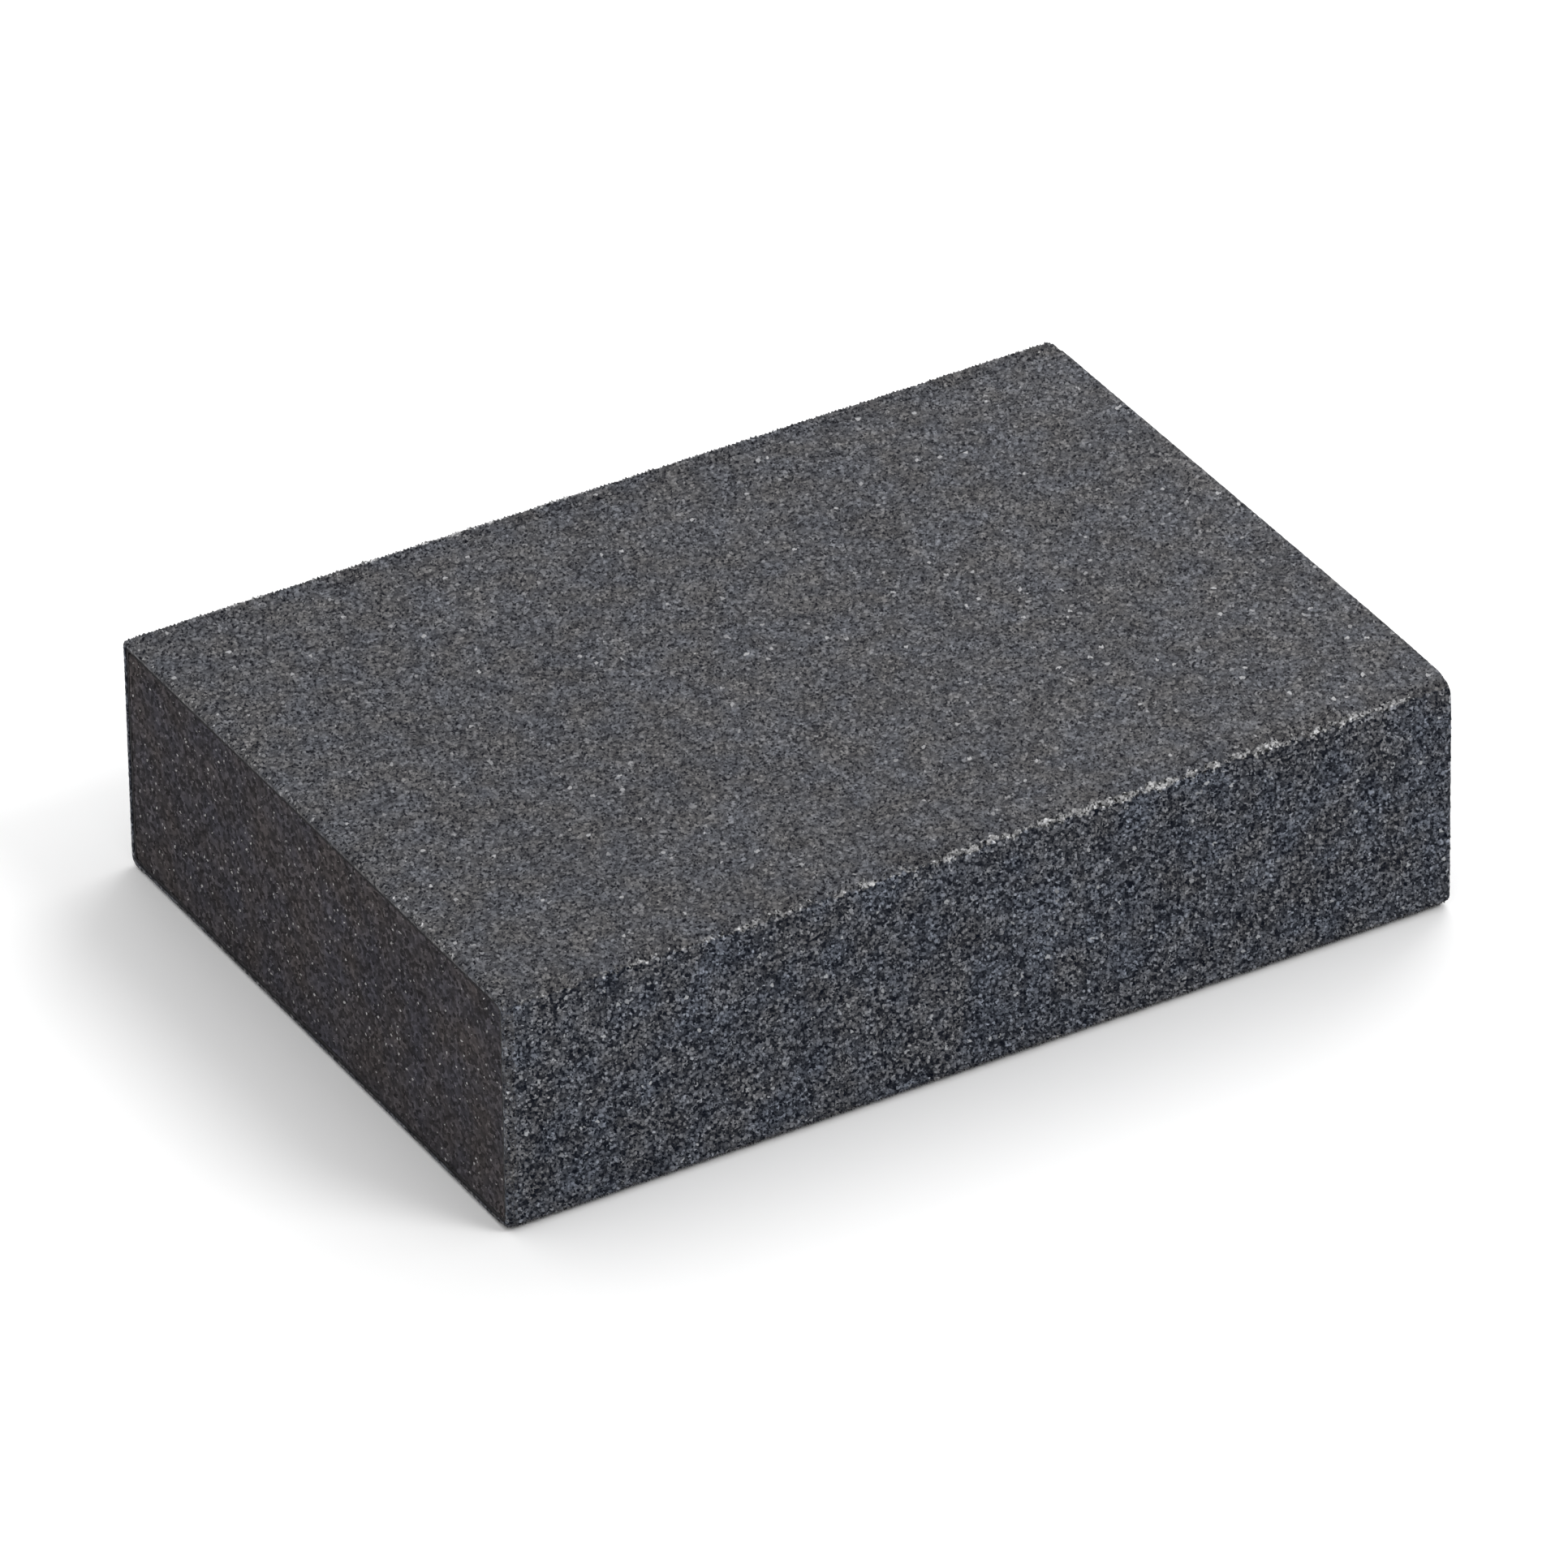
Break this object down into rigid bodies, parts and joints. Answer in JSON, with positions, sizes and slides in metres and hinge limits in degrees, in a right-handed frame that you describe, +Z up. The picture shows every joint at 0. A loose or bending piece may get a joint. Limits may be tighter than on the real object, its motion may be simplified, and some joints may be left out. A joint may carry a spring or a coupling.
{
  "type": "sanding block",
  "caption": "Flexible rectangular foam sanding block, coated with dark abrasive grit on both large faces and both long sides, with bare foam ends.",
  "frame": {"origin": "centre of the underside, on the surface that the block lies on", "axes": "+X along the length, +Y across the width to the back long side, +Z up through the thickness"},
  "size_m": [0.1, 0.07, 0.025],
  "materials": {
    "foam": "matte, fine open cells",
    "bond_resin": "matte resin",
    "face_grit": "coarse abrasive grains with glinting facets",
    "side_grit": "coarse abrasive grains with glinting facets"
  },
  "bodies": {
    "root": {"foam_core": "foam", "top_bond_coat": "bond_resin", "bottom_bond_coat": "bond_resin", "front_bond_coat": "bond_resin", "back_bond_coat": "bond_resin", "top_grit_coat": "face_grit", "bottom_grit_coat": "face_grit", "front_grit_coat": "side_grit", "back_grit_coat": "side_grit"}
  },
  "joints": []
}
